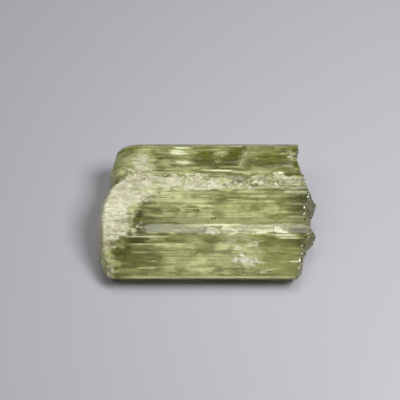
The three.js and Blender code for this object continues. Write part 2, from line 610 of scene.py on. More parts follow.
# Milky clouds inside, close under the top. On the shelf and in the slab's pale patch they are partly a
# painted reflection.
MILKY = patches(
    (1.0, -0.3, 9.8, 2.4, 0.4, 0.8, 0.8),  # the whole slab
    (-1.0, 0.15, 2.3, 0.75, 1.1, 0.5, 0.6),  # its pale patch
    (-4.6, 1.3, 2.2, 0.8, 1.1, 0.7, 0.9),  # its left
    (-3.9, -1.0, 2.9, 1.1, 0.65, 0.6, 0.5),
    (5.2, -3.1, 5.6, 0.5, 0.55, 0.3, 0.5),  # the shelf
    (-5.0, -3.2, 3.8, 0.5, 0.12, 0.3, 0.5),
    (9.8, 3.4, 3.4, 1.2, 0.5, 0.5, 0.9),  # the end of the belt
    (11.2, 4.0, 1.2, 0.45, 1.1, 0.3, 0.3),
    (2.9, -2.12, 10.5, 0.28, 0.9, 0.15, 0.12),  # the foot of the first step
    (-3.4, -4.6, 4.6, 0.65, 0.95, 0.4, 0.4),  # the second step
    (3.9, -4.35, 3.4, 0.35, 0.7, 0.3, 0.2),
    (2.4, -4.9, 1.6, 0.4, 1.0, 0.3, 0.3),
    (2.3, 2.1, 1.4, 0.3, 0.9, 0.2, 0.3),  # the belt's front edge
    (4.9, 2.5, 0.9, 0.3, 0.9, 0.2, 0.3),
    (-2.6, -7.0, 3.8, 2.1, 0.45, 1.2, 1.2),  # the front
    (3.2, -4.9, 2.2, 0.85, 0.85, 0.8, 0.4),  # around the feather
    (5.2, -6.6, 2.4, 1.9, 0.6, 0.9, 0.5, -25.0),
    (2.3, -7.0, 2.4, 1.1, 0.6, 0.8, 0.4),
    (3.6, -8.4, 1.4, 0.4, 0.5, 0.3, 0.3),
    (9.8, -6.6, 3.4, 2.0, 0.2, 0.9, 0.5),  # the front's right
    (-6.0, 2.7, 5.2, 1.9, 0.88, 0.8, 0.9),  # beside the etched skin
    (-10.8, -1.2, 1.9, 2.0, 0.9, 0.6, 0.9),
    (-13.8, -6.4, 1.3, 2.8, 1.1, 0.6, 1.0),
    (-11.8, -4.9, 0.8, 0.5, 0.9, 0.3, 0.4),
    (-11.6, -8.2, 1.2, 0.3, 0.9, 0.3, 0.5),
    (-11.7, -7.4, 0.9, 0.2, 0.6, 0.2, 0.4),
    (-8.8, 6.1, 2.0, 1.6, 0.8, 0.7, 1.0, 10.0),  # the ridge
    (-9.0, 5.4, 1.9, 0.8, 1.1, 0.5, 0.4),  # the foot of its cloud
    (-6.0, 6.2, 1.2, 0.5, 0.6, 0.3, 0.3),  # its faces
    (-7.1, 7.7, 1.8, 0.45, 0.6, 0.3, 0.3),
    (-11.8, 6.3, 1.3, 1.7, 0.5, 0.5, 0.5),
    (-3.5, 7.4, 2.6, 0.6, 0.4, 0.3, 0.4),
    (2.1, 7.45, 1.0, 0.4, 0.8, 0.3, 0.4),
    (5.3, 7.0, 0.6, 1.3, 0.8, 0.5, 0.6, -38.0),
    (6.3, 7.3, 0.8, 0.6, 0.55, 0.5, 0.5),
    (5.2, 5.75, 0.9, 0.3, 0.6, 0.3, 0.2),
    (7.4, 7.6, 2.2, 0.45, 0.35, 0.3, 0.4),
    (11.4, 7.3, 0.6, 0.7, 0.55, 0.4, 0.5),
    (7.5, 5.6, 3.0, 0.3, 0.5, 0.2, 0.3),  # its foot
    (-4.8, 5.4, 3.2, 0.5, 0.5, 0.15, 0.1),  # the groove
    (0.5, 4.3, 7.5, 0.7, 0.15, 0.3, 0.3),  # the belt's back edge
    (7.0, 5.1, 2.6, 0.2, 0.5, 0.15, 0.1),  # the groove's right and middle
    (-1.0, 5.75, 1.6, 0.2, 0.6, 0.15, 0.1),
)
# Painted glints and highlights, brighter than the rest and broken into streaks. The second row is the ridge's
# whitish cloud, which is real.
GLINTS = patches(
    (-3.7, 7.45, 1.1, 0.2, 2.2, 0.1, 0.12),  # on the ridge
    (-8.9, 6.4, 1.6, 1.2, 1.1, 0.9, 0.5, 12.0),
    (-3.4, 7.12, 1.1, 0.11, 1.4, 0.1, 0.12),
    (-3.7, 7.3, 1.8, 0.6, 0.75, 0.4, 0.3),
    (-3.7, 6.45, 1.3, 0.3, 0.8, 0.3, 0.2),
    (-2.4, 7.52, 1.2, 0.12, 1.3, 0.1, 0.1),
    (-3.3, 7.92, 1.1, 0.12, 1.5, 0.08, 0.06),
    (-3.5, 6.46, 1.0, 0.14, 2.0, 0.1, 0.1),
    (-6.0, 6.5, 0.7, 0.16, 0.9, 0.15, 0.15),
    (1.5, 6.47, 0.4, 0.1, 1.2, 0.08, 0.1),
    (2.1, 7.05, 0.15, 0.1, 1.3, 0.08, 0.05),
    (10.4, 7.3, 0.5, 0.1, 0.6, 0.08, 0.1),
    (1.3, 5.47, 3.0, 0.1, 1.6, 0.06, 0.03, -0.6),  # in the groove
    (10.1, 5.1, 0.4, 0.16, 1.6, 0.08, 0.05),
    (6.6, 5.3, 1.9, 0.07, 0.9, 0.06, 0.05, -1.0),
    (-1.5, 0.65, 1.5, 0.07, 1.2, 0.05, 0.04),  # on the slab
    (8.9, -1.3, 0.8, 0.09, 1.3, 0.06, 0.05),
    (5.7, -1.3, 1.3, 0.06, 0.9, 0.05, 0.05),
    (5.2, -1.65, 1.4, 0.05, 0.8, 0.05, 0.05),
    (5.6, 0.5, 1.5, 0.06, 0.8, 0.05, 0.05),
    (-6.6, -1.65, 0.3, 0.1, 1.0, 0.06, 0.05),
    (7.1, 3.0, 0.5, 0.3, 1.2, 0.12, 0.2),  # on the belt
    (4.6, 2.4, 1.0, 0.25, 0.9, 0.2, 0.3),
    (1.6, 3.3, 1.8, 0.4, 0.75, 0.12, 0.3),
    (-1.8, 3.55, 1.0, 0.4, 1.6, 0.2, 0.3),
    (7.6, -3.8, 2.2, 0.14, 1.0, 0.08, 0.15),  # on the shelf
    (4.2, -3.8, 1.6, 0.2, 1.2, 0.1, 0.15),
    (4.6, -2.3, 2.2, 0.12, 1.1, 0.08, 0.1),
)
# Cracks that reach the top, broken into white grains.
CRACKED = patches(
    (-8.9, 6.5, 1.6, 1.1, 0.55, 0.9, 0.6, 12.0),  # cloud on the ridge
    (-8.8, 5.3, 2.0, 0.9, 0.56, 0.6, 0.5),
    (11.5, 7.15, 0.4, 0.8, 0.5, 0.4, 0.8),  # broken end of the ridge
    (10.8, 4.15, 1.6, 0.5, 0.62, 0.3, 0.5),  # the end of the belt
    (9.8, 3.1, 3.2, 0.9, 0.42, 0.5, 0.9),
    (11.3, 3.7, 1.2, 0.28, 0.56, 0.2, 0.3),
    (5.5, 7.4, 0.22, 0.85, 0.58, 0.28, 0.18, -42.0),  # veil across the ridge
    (4.75, 6.5, 0.22, 0.95, 0.59, 0.28, 0.18, -28.0),
    (4.3, -5.5, 0.8, 0.4, 0.55, 0.3, 0.6, -30.0),  # the feather in the front
    (4.6, -5.75, 0.6, 0.25, 0.55, 0.2, 0.5, -20.0),  # heart of the feather
    (4.6, -6.3, 0.85, 0.3, 0.57, 0.2, 0.6, -15.0),
    (5.1, -6.9, 1.1, 0.36, 0.59, 0.2, 0.7, -15.0),
    (5.7, -7.5, 0.85, 0.35, 0.6, 0.2, 0.5, -20.0),
    (3.8, -6.9, 0.5, 0.1, 0.6, 0.1, 0.15, 10.0),  # slashes through it
    (3.6, -6.3, 0.7, 0.1, 0.62, 0.1, 0.2, -12.0),
    (4.0, -5.1, 0.7, 0.1, 0.6, 0.1, 0.2, -25.0),
    (5.9, -6.5, 0.8, 0.1, 0.6, 0.1, 0.2, -20.0),
    (6.5, -7.1, 0.9, 0.09, 0.58, 0.1, 0.2, -10.0),
    (5.0, -6.6, 1.1, 1.5, 0.42, 0.5, 0.9, 25.0),  # its halo
    (3.1, -4.8, 1.1, 0.35, 0.5, 0.3, 0.7),
    (6.3, -4.8, 1.2, 0.35, 0.52, 0.2, 0.6, 8.0),
    (5.4, -6.6, 2.8, 1.5, 0.38, 0.9, 1.4, -32.0),
    (7.3, -8.1, 1.6, 0.5, 0.42, 0.4, 0.7, -12.0),  # its tail
    (6.9, -7.8, 0.9, 0.12, 0.56, 0.1, 0.2, -6.0),
    (7.6, -8.4, 0.9, 0.1, 0.54, 0.1, 0.2),
    (2.6, -5.2, 1.7, 0.8, 0.38, 0.7, 1.0),  # its upper left
)
# Where dark and white grains mix.
GRITTY = patches(
    (-9.1, -2.9, 1.1, 1.0, 1.0, 0.4, 0.6),  # by the etched skin
    (1.2, -3.1, 1.3, 0.5, 0.6, 0.2, 0.4),  # the shelf
    (5.0, -6.7, 1.2, 1.5, 0.7, 0.5, 0.9, 25.0),  # the feather
    (6.2, 2.95, 6.3, 0.6, 0.7, 0.4, 0.5),  # the belt
    (-1.2, 3.1, 3.8, 0.8, 0.4, 0.4, 0.6),
    (1.0, 2.9, 2.2, 0.6, 0.75, 0.4, 0.5),
    (11.5, 7.1, 0.7, 0.7, 0.7, 0.4, 0.8),  # broken end of the ridge
    (-8.8, 5.6, 1.5, 1.6, 0.35, 0.5, 0.8),  # the cloud on the ridge
    (1.6, 6.9, 1.2, 0.8, 0.4, 0.3, 0.6),  # the ridge's face
)
# Painted highlights along the edges of the steps, the front and the ridge's crest: thin and straight.
EDGE_HIGHLIGHTS = patches(
    (0.0, -9.12, 12.3, 0.09, 0.9, 0.03, 0.02),  # the front edge
    (-7.5, -4.1, 2.9, 0.07, 1.2, 0.04, 0.04),  # both sides of the dark window between the steps
    (-6.3, -4.8, 4.4, 0.06, 1.1, 0.04, 0.04),
    (1.9, -2.55, 2.4, 0.09, 1.3, 0.05, 0.05),  # the first step
    (6.4, -2.68, 2.8, 0.06, 0.8, 0.05, 0.08),
    (-3.2, 8.05, 6.0, 0.05, 0.6, 0.05, 0.05),  # the ridge's crest
    (10.2, -3.94, 2.1, 0.14, 1.2, 0.06, 0.05),  # below the pale wedge on the shelf
    (10.9, -4.22, 1.8, 0.09, 1.1, 0.05, 0.05),
)
# Where clay tints the etched skin.
TINTED = patches(
    (-7.4, 3.3, 4.4, 1.6, 0.32, 0.9, 0.9),  # the belt's left
    (-9.0, 5.0, 2.2, 0.9, 0.55, 0.5, 0.5),  # the foot of the cloud on the ridge
    (-11.5, 2.6, 2.6, 2.0, 0.27, 0.9, 0.9),  # the left end's back
    (-7.2, 3.5, 2.2, 0.7, 0.5, 0.4, 0.4),
    (7.6, 3.3, 6.6, 1.5, 0.26, 0.9, 0.9),  # the belt
    (0.0, 3.0, 4.0, 1.4, 0.26, 0.6, 0.7),
    (0.6, -3.3, 1.4, 0.7, 0.35, 0.3, 0.3),  # the bruises on the shelf
    (5.2, -6.6, 3.0, 1.9, 0.22, 0.8, 0.9, -25.0),  # the feather
    (5.1, 7.0, 0.7, 1.3, 0.4, 0.4, 0.5, -38.0),  # the veil across the ridge
    (-13.4, -3.9, 2.0, 1.7, 0.17, 0.6, 0.8),  # the left end's front
    (-12.6, -6.8, 2.2, 2.6, 0.52, 0.6, 0.8),
    (-11.7, -3.0, 0.8, 0.8, 0.45, 0.4, 0.5),
    (-8.2, 3.0, 1.3, 0.6, 0.4, 0.3, 0.4),  # the skin's inner edge
    (-8.4, 0.9, 1.6, 0.8, 0.35, 0.3, 0.5),
    (-4.6, 5.4, 3.4, 0.5, 0.25, 0.2, 0.1),  # the groove, darkened: painted shade
)
# Dark cracks and stains at the top, and painted shade: the windows and gaps beside the etched skin, the
# shadow under its lip, and thin dark lines on the slab, in the groove and on the ridge.
SEAMS_AND_SHADE = patches(
    (0.7, -1.95, 0.1, 0.08, 1.0, 0.03, 0.0),  # two pinholes on the slab
    (1.1, -1.95, 0.1, 0.08, 1.0, 0.03, 0.0),
    (-9.1, -1.7, 0.5, 0.6, 0.6, 0.2, 0.6),  # a window by the etched skin
    (1.8, 3.85, 2.8, 0.4, 0.35, 0.25, 0.3),  # gaps along the belt
    (-3.0, 4.4, 0.6, 0.4, 1.1, 0.2, 0.2),
    (7.6, 3.65, 0.8, 0.3, 0.9, 0.2, 0.3),
    (-9.1, -3.1, 1.2, 0.8, 0.35, 0.5, 1.2),  # more windows by the etched skin
    (-8.9, -2.4, 0.7, 0.3, 0.6, 0.3, 0.8),
    (-9.4, -4.45, 1.25, 0.28, 0.75, 0.1, 0.12),
    (-4.4, -4.5, 1.9, 0.14, 0.35, 0.1, 0.12),
    (-8.0, 0.1, 1.2, 0.16, 1.0, 0.06, 0.06, 2.0),  # the shadow under the skin's lip
    (-1.5, 0.82, 1.5, 0.06, 0.5, 0.05, 0.04),  # lines on the slab
    (9.3, 1.35, 2.8, 0.07, 0.6, 0.05, 0.05),
    (4.5, 1.55, 1.6, 0.05, 0.5, 0.05, 0.05),
    (-1.3, 5.47, 1.5, 0.09, 0.65, 0.05, 0.03),  # a line in the groove
    (11.2, -0.2, 1.3, 0.06, 0.7, 0.06, 0.06),  # the slab's right end
    (11.5, -0.8, 1.6, 0.05, 0.7, 0.05, 0.06),
    (12.7, 0.7, 0.9, 0.5, 0.25, 0.2, 0.3),
    (12.8, -1.0, 0.9, 0.6, 0.25, 0.2, 0.3),
    (12.8, -4.6, 0.7, 0.35, 0.25, 0.2, 0.2),
    (-5.0, 6.95, 1.6, 0.07, 0.7, 0.05, 0.05),  # lines on the ridge
    (9.3, 7.05, 1.4, 0.06, 0.6, 0.05, 0.05),
    (12.2, -3.0, 1.6, 0.1, 0.8, 0.06, 0.1),  # the shelf's right end
    (12.4, -3.5, 1.5, 0.1, 0.85, 0.06, 0.1),
    (12.5, -3.2, 1.4, 0.5, 0.55, 0.2, 0.5),
    (12.7, 0.25, 1.1, 0.09, 0.6, 0.06, 0.1),  # lines at the slab's right end
    (12.4, -1.2, 1.3, 0.09, 0.6, 0.06, 0.1),
    (12.2, 0.85, 1.4, 0.08, 0.6, 0.06, 0.1),
    (12.8, -0.45, 0.9, 0.07, 0.6, 0.06, 0.1),
    (-7.1, -6.2, 0.8, 0.3, 0.3, 0.2, 0.3),  # small marks on the front
    (-4.0, -7.1, 0.2, 0.35, 0.3, 0.15, 0.2),
    (-11.9, -6.8, 0.5, 0.4, 0.3, 0.2, 0.3),  # beside the skin at the front left
    (-11.9, -5.9, 0.9, 0.3, 0.45, 0.3, 0.5),
    (-11.5, -7.0, 0.6, 0.5, 0.35, 0.3, 0.6),
)
# Hollows in the top.
PITS = patches((-9.4, -4.5, 1.4, 0.2, 0.2, 0.15, 0.1))
# Painted shade for the dark windows: the underside takes the stain colour here, so that these places look
# dark and green through the top. At the slab's right corner it also stands for a real brown stain.
DARK = patches(
    (-9.6, -6.8, 3.2, 2.0, 0.32, 1.3, 3.0),  # front left
    (-11.6, -5.8, 1.0, 0.35, 0.2, 0.3, 0.3),
    (-9.1, -1.65, 0.65, 0.7, 1.0, 0.3, 0.4),  # small windows by the etched skin
    (-9.0, -3.0, 1.2, 0.7, 0.6, 0.3, 0.3),
    (-9.4, -4.45, 1.35, 0.42, 1.0, 0.2, 0.2),  # the window between the steps
    (-6.8, -1.0, 0.8, 0.45, 0.9, 0.3, 0.4),  # the slab
    (-4.1, -1.1, 0.35, 0.4, 0.5, 0.2, 0.3),
    (-4.4, -4.5, 2.0, 0.3, 0.7, 0.2, 0.2),  # between the steps
    (12.8, 0.0, 1.8, 1.8, 0.5, 0.6, 0.9),  # right corner of the slab
    (12.6, -4.6, 1.0, 0.6, 0.5, 0.4, 0.4),
    (0.3, -4.7, 1.2, 0.6, 0.6, 0.3, 0.5),
    (1.6, 0.6, 1.3, 0.8, 0.5, 0.3, 0.3),  # the slab's middle
    (-10.6, 7.3, 1.0, 0.5, 0.8, 0.3, 0.4),  # ridge
    (-0.4, 7.3, 0.7, 0.5, 0.7, 0.4, 0.5),
    (2.6, 6.5, 1.8, 0.8, 0.6, 0.4, 0.6),
    (9.0, 6.6, 2.0, 0.7, 0.6, 0.5, 0.7),
)


@dataclass
class Crystal:
    """The whole crystal as one closed surface.

    length, width, height: the full size that its outlines are shares of. columns: loops across the width. The
    stations and rows divide each loop.
    """

    length: float
    width: float
    height: float
    columns: int = 346
    top_stations: int = 230
    bottom_stations: int = 22
    end_rows: int = 18
    left_crowding: float = 1.35  # the power that packs the top stations towards the etched end
    sharp_angle: float = 35.0  # edges turned by more degrees are shaded as sharp

    # The etched end on the left
    left_shift: float = 0.2  # how far its fibres start outside its outline
    fibre_length: float = 0.5
    left_fibres: Grain = Grain(1.2, 0.25, (0.0, 60.0), 4)
    worn_from: float = -9.4  # the steps reach at least this far left
    wearing: Span = (0.3, -2.2)  # how far right of the skin's edge they go from whole to worn away
    wear_wobble: float = 0.3
    outside_inset: float = 0.15  # the outside is taken to be widest this far inside its outline

    # The broken end on the right
    lean_below: float = 0.6
    splinter_width: float = 0.62
    splinter_depth: float = 0.4
    splinter_layers: int = 6
    hair_width: float = 0.3
    hair_layers: float = 9.0
    hair_place: tuple[float, float] = (7.0, 90.0)  # where the hairs are read in the noise
    calm_front: Span = (-8.0, -5.0)  # the splinters are smaller at the front
    splinters: tuple[float, float] = (0.2, 0.8)  # a splinter's size: at the front, and added further back
    hairs: tuple[float, float] = (0.06, 0.1)  # a hair's length, in the same way
    end_frost: float = 0.4
    end_stain: float = 0.78
    end_shares: Span = (0.999, 1.0)  # the share of a loop's way to the right where it starts
    end_levels: Span = (1.0, 0.9)  # and its level
    haze_levels: Span = (0.6, 1.0)  # the top's haze fades going down the end

    # The grooves along the growth faces, and the painted highlight lines and painted shade lines that run
    # with them
    grooves: tuple = (Laths(0.27, 0.004, 7.0, 3), Laths(0.7, 0.008, 11.0, 4), Laths(2.3, 0.02, 16.0, 5))
    # painted highlight lines along the grooves
    painted_highlight_lines: tuple = (Laths(0.26, 0.0, 2.4, 6), Laths(0.5, 0.0, 4.0, 7))
    # painted shade lines along the grooves
    painted_shade_lines: tuple = (Laths(0.23, 0.0, 1.6, 10), Laths(0.3, 0.0, 2.8, 8), Laths(0.6, 0.0, 5.0, 9))
    lines_from: Span = (-11.5, -9.5)
    deep_from: Span = (-11.5, -9.0)  # the grooves are shallow at the etched end
    deeper_from: Span = (9.5, 12.5)  # and deep at the broken one
    depths: tuple[float, float, float] = (0.3, 0.7, 0.9)  # at the etched end, and what each span adds
    shelf_middle: float = -3.2  # the shelf between the steps is grooved deeper, but not in its middle part
    shelf_half: Span = (1.0, 0.5)
    shelf_left: Span = (-1.0, -3.0)
    shelf_right: Span = (10.3, 11.3)

    # The etched skin
    lump_height: float = 0.5
    lumps: Grain = Grain(1.1, 0.7, (5.0, 5.0), 2)
    grain_height: float = 0.16
    grains: Grain = Grain(0.6, 0.24, (40.0, 40.0), 2)
    crumbly_share: tuple[float, float] = (0.3, 0.7)  # the lumps' height: everywhere, and added on the belt
    belt_front: Span = (2.0, 3.6)
    belt_back: Span = (5.6, 5.0)
    belt_left: Span = (-7.0, -5.0)
    fibrous: Grain = Grain(1.5, 0.45, (0.0, 0.0), 4)  # what makes all edges of regions ragged
    skin_wobble: tuple[float, float] = (1.1, 0.25)  # how far it moves the skin's edge along X and Y
    skin_edge: Span = (-1.9, 1.5)
    skin_back: Span = (-0.1, 0.15)
    thin_right: Span = (-2.0, 6.0)  # the skin gets thinner between these places along X
    thin_front: Span = (-3.0, -6.0)  # and between these along Y
    thinnest: tuple[float, float] = (0.5, 0.2)  # how thin it gets at the right, and at the front
    gaps: Grain = Grain(1.4, 0.6, (0.0, 33.0), 3)
    gap_span: Span = (0.4, 0.8)
    gap_depth: float = 0.4
    rim_place: float = 4.45  # the slab's crumbly rim
    rim_half: Span = (0.9, 0.1)
    rim_wander: float = 1.5
    rim_bends: Grain = Grain(0.9, 1.0 / 0.3, (9.0, 0.0), 3)

    # Dark and white grains
    specks: Grain = Grain(0.4, 0.28, (90.0, 12.0), 2)
    white_specks: Span = (0.46, 0.38)
    dark_specks: Span = (0.54, 0.62)
    white_speck: float = 0.75
    dark_speck: float = 0.8
    pock_depth: float = 0.25

    # Stains, and painted shade
    # how dark the painted shade lines are
    painted_shade_line: float = 0.55
    tint: Grain = Grain(0.7, 0.35, (20.0, 70.0), 3)
    tint_share: tuple[float, float] = (2.6, 0.3)  # the pattern times the first, less the second
    patchy_stain: Grain = Grain(2.2, 0.9, (50.0, 70.0), 4, 0.5)
    patchy_span: Span = (0.45, 0.7)
    patchy_share: float = 0.3
    window_lean: float = 0.4  # how far back the painted-shade windows on the underside sit, for each millimetre of the top's height

    # Milky clouds, and painted glints and highlights
    bends: Grain = Grain(1.3, 0.45, (14.0, 9.0), 2)  # moves the ends of the clouds' blocks along X
    bend_reach: float = 1.8
    cloud: Grain = Grain(1.7, 0.9, (80.0, 20.0), 3, 0.4)
    cloud_share: tuple[float, float] = (0.3, 1.4)  # the least, and what the pattern adds
    band: Grain = Grain(0.9, 2.6, (60.0, 5.0), 2, 0.5)
    band_share: float = 0.8
    cloud_lines: Grain = Grain(7.0, 0.18, (11.0, 40.0), 3)
    line_contrast: tuple[float, float] = (0.9, 0.7)  # at the front, and added behind the steps
    behind_steps: Span = (-4.3, -3.5)
    cloud_limit: float = 0.8
    # how strong the painted highlight lines are
    painted_highlight_line: float = 0.8
    calm_right: Span = (6.0, 8.5)  # the front's right corner has few painted highlight lines
    calm_below: Span = (-4.1, -4.6)
    calm_share: float = 0.6
    cleared: float = 0.8  # how far a painted-shade window clears the milky haze over it
    glint_gaps: Grain = Grain(1.6, 0.14, (3.0, 60.0), 2)
    glint_span: Span = (0.3, 0.6)
    glint_share: tuple[float, float] = (0.4, 0.6)  # in the gaps, and added outside them

    # The underside, which is etched white
    underside_from: Span = (-0.5, -0.93)  # the level where it starts on the left end and elsewhere
    underside_frost: float = 0.95
    bevel_gaps: Grain = Grain(4.0, 0.35, (200.0, 7.0), 4)
    bevel_span: Span = (0.4, 0.65)
    bevel_rise: Span = (0.3, 2.0)  # how high above the resting face a bevel clears
    bevel_clear: float = 0.55
    front_bevel: Span = (0.0, -3.0)
    bottom_grooves: Grain = Grain(12.0, 0.35, (30.0, 150.0), 2)
    bottom_depth: float = 0.4
    noise: Noise = field(default_factory=lambda: Noise(seed=23))

    def route(self) -> tuple[Array, Array]:
        """Works out every loop's route: along the top, down the right end, back below and up the left end.

        Returns:
            How far each place is from the left end to the right, from 0 to 1, and its level, from -1 at the
            bottom to 1 at the top.
        """
        top = (np.arange(self.top_stations) / self.top_stations) ** self.left_crowding
        under = np.arange(self.bottom_stations) / self.bottom_stations
        level = np.cos(np.pi * np.arange(self.end_rows) / self.end_rows)
        ones = np.ones(self.end_rows)
        share = np.concatenate([top, ones, 1.0 - under, 0.0 * ones])
        levels = [np.ones(self.top_stations), level, -np.ones(self.bottom_stations), -level]
        return share[None, :], np.concatenate(levels)[None, :]

    def measured(self) -> tuple[Array, Array]:
        """Measures the top's outline.

        Returns:
            Its corners' places across the width, and how far along it each one is, in millimetres.
        """
        line = np.array(TOP_OUTLINE) * (self.width, self.height)
        steps = np.linalg.norm(np.diff(line, axis=0), axis=1)
        return line[:, 0], np.concatenate([[0.0], np.cumsum(steps)])

    def arc(self, y: Array) -> Array:
        """How far along the top's outline a place across the width is."""
        places, run = self.measured()
        return np.interp(-y, -places, run)

    def left_end(self, y: Array, level: Array) -> Array:
        """Shapes the etched end: a quarter of an ellipse above and below the middle, with fibres along X.

        Args:
            y: the place across the width.
            level: the height, from -1 to 1.

        Returns:
            X of each point.
        """
        rounding = follow(LEFT_ROUNDING, y, self.width)
        fibres = self.fibre_length * self.left_fibres.of(self.noise, y, level)
        edge = follow(LEFT_END, y, self.width, self.length) - self.left_shift
        return edge + rounding * (1.0 - np.sqrt(1.0 - level**2)) + fibres

    def right_end(self, y: Array, level: Array) -> Array:
        """Shapes the broken end, which leans back and steps from lath to lath and from layer to layer.

        Args:
            y: the place across the width.
            level: the height, from -1 to 1.

        Returns:
            X of each point: the outline less the lean, a splinter's depth and a hair's.
        """
        lean = np.where(level > 0, follow(RIGHT_LEAN, y, self.width) * level, -self.lean_below * level)
        layers = self.splinter_layers
        layer = np.minimum(np.floor((level + 1.0) * layers / 2.0), layers - 1.0)
        depth = scrambled(np.floor(y / self.splinter_width) * layers + layer)
        back = smooth_step(*self.calm_front, y)
        coarse = self.splinter_depth * (self.splinters[0] + self.splinters[1] * back) * depth
        column = np.floor(y / self.hair_width) + self.hair_place[0]
        row = np.floor(level * self.hair_layers) + self.hair_place[1]
        fine = (self.hairs[0] + self.hairs[1] * back) * self.noise.cell(column, row)
        return follow(RIGHT_END, y, self.width, self.length) - lean - coarse - fine

    def shape(self) -> dict[str, Array]:
        """Works out the surface as one row for each loop.

        Returns:
            Its points in millimetres, and for each: how etched it is (frost), how milky, with its painted
                glints and highlights (haze), and how dark with clay, iron and painted shade (stain).
        """
        places, run = self.measured()
        y = np.interp(np.linspace(0.0, run[-1], self.columns), run, places)[:, None]
        share, level = self.route()
        inner = np.ones_like(y)
        inner[[0, -1]] = 0.0
        end_level = level * inner
        x = mixed(self.left_end(y, end_level), self.right_end(y, end_level), share)
        y = np.broadcast_to(y, x.shape)
        up = (level + 1.0) / 2.0
        under = smooth_step(np.where(share < 0.5, *self.underside_from), -1.0, level) * np.ones_like(x)
        broken = smooth_step(*self.end_shares, share) * smooth_step(*self.end_levels, level)
        wobble = self.wobble(x, y)
        grit, speck = self.grit(x, y, wobble)
        white = self.white_speck * grit * smooth_step(*self.white_specks, speck)
        skin = np.maximum(self.skin(x, y, wobble), white)
        seams_and_shade = self.seams_and_shade(x, y, wobble)
        high = self.top(x, y) + self.top_relief(x, y, skin) * inner
        low = follow(BOTTOM_OUTLINE, y, self.width, self.height) + self.bottom_relief(x, y) * inner
        below = self.underside_frost - self.bevel_clearing(x, y, low)
        top_haze = np.where(share > 0.0, smooth_step(*self.haze_levels, level), up)
        # the broken end's colour, and the top's stains and painted shade
        top_stain_and_shade = np.maximum(self.end_stain * broken, seams_and_shade)
        return {
            "points": np.stack([x, y + self.wander(x, y) * up, mixed(low, high, up)], axis=-1),
            "frost": mixed(np.maximum(skin, self.end_frost * broken), below, under),
            # milky clouds, with painted glints and highlights
            "haze_and_glints": self.haze_and_glints(x, y, wobble) * top_haze,
            # stains underneath and on top, with painted shade
            "stain_and_shade": self.stain_and_shade(x, y, wobble) * under + top_stain_and_shade * (1.0 - under),
        }

    def wobble(self, x: Array, y: Array) -> Array:
        """Noise from -1 to 1 that is drawn out along X, and makes an edge ragged and fibrous."""
        return self.fibrous.of(self.noise, x, y) * 2.0 - 1.0

    def grit(self, x: Array, y: Array, wobble: Array) -> tuple[Array, Array]:
        """How far dark and white grains mix at each point, and the noise that tells them apart."""
        return covered(GRITTY, x, y, wobble), self.specks.of(self.noise, x, y)

    def seams_and_shade(self, x: Array, y: Array, wobble: Array) -> Array:
        """Works out how dark the top is: cracks and stains with painted shade, the painted shade lines, clay
        in the etched skin and dark grains.

        Args:
            x, y: the points.
            wobble: the noise that makes edges ragged.

        Returns:
            The strongest of the four at each point, from 0 to 1.
        """
        grit, speck = self.grit(x, y, wobble)
        scale, less = self.tint_share
        marks = [
            covered(SEAMS_AND_SHADE, x, y, wobble),
            self.painted_shade_line * self.lit(self.painted_shade_lines, x, y),
            covered(TINTED, x, y, wobble) * (scale * self.tint.of(self.noise, x, y) - less),
            self.dark_speck * grit * smooth_step(*self.dark_specks, speck),
        ]
        return np.max(marks, axis=0)

    def bevel_clearing(self, x: Array, y: Array, low: Array) -> Array:
        """Works out how far the bevels are less etched than the resting face: the front one, and in patches.

        Args:
            x, y: the points.
            low: the height of the underside.

        Returns:
            What is taken off the frost value.
        """
        bare = smooth_step(*self.bevel_span, self.bevel_gaps.of(self.noise, x, low))
        clear = self.bevel_clear
        front = clear * smooth_step(*self.front_bevel, y)
        return smooth_step(*self.bevel_rise, low) * np.maximum(front, clear * bare)

    def top(self, x: Array, y: Array) -> Array:
        """Works out the top's height without its relief: the stepped outline, which turns to the worn one.

        Args:
            x, y: the points.

        Returns:
            Their height in millimetres.
        """
        reach = np.minimum(follow(SKIN_EDGE, y), self.worn_from)
        worn = smooth_step(*self.wearing, x - reach + self.wear_wobble * self.wobble(x, y))
        stepped = follow(TOP_OUTLINE, y, self.width, self.height)
        return mixed(stepped, follow(WORN_OUTLINE, y, self.width, self.height), worn)

    def outside(self, x: Array, y: Array) -> Array:
        """Works out the height of the outside, seen from above, out to where the round left end is widest.

        There X is the end's edge plus rounding * (1 - sqrt(1 - level^2)), which is solved for the level.

        Args:
            x, y: the points.

        Returns:
            Their height in millimetres.
        """
        rounding = follow(LEFT_ROUNDING, y, self.width)
        edge = follow(LEFT_END, y, self.width, self.length)
        inward = np.clip((x - edge - self.outside_inset) / rounding, 0.0, 1.0)
        up = (np.sqrt(1.0 - (1.0 - inward) ** 2) + 1.0) / 2.0
        return mixed(follow(BOTTOM_OUTLINE, y, self.width, self.height), self.top(x, y), up)

    def wander(self, x: Array, y: Array) -> Array:
        """How far the crumbly rim of the slab moves to the back or front as it goes along X."""
        near = smooth_step(*self.rim_half, np.abs(y - self.rim_place))
        return near * self.rim_wander * (self.rim_bends.of(self.noise, x, y) - 0.5)

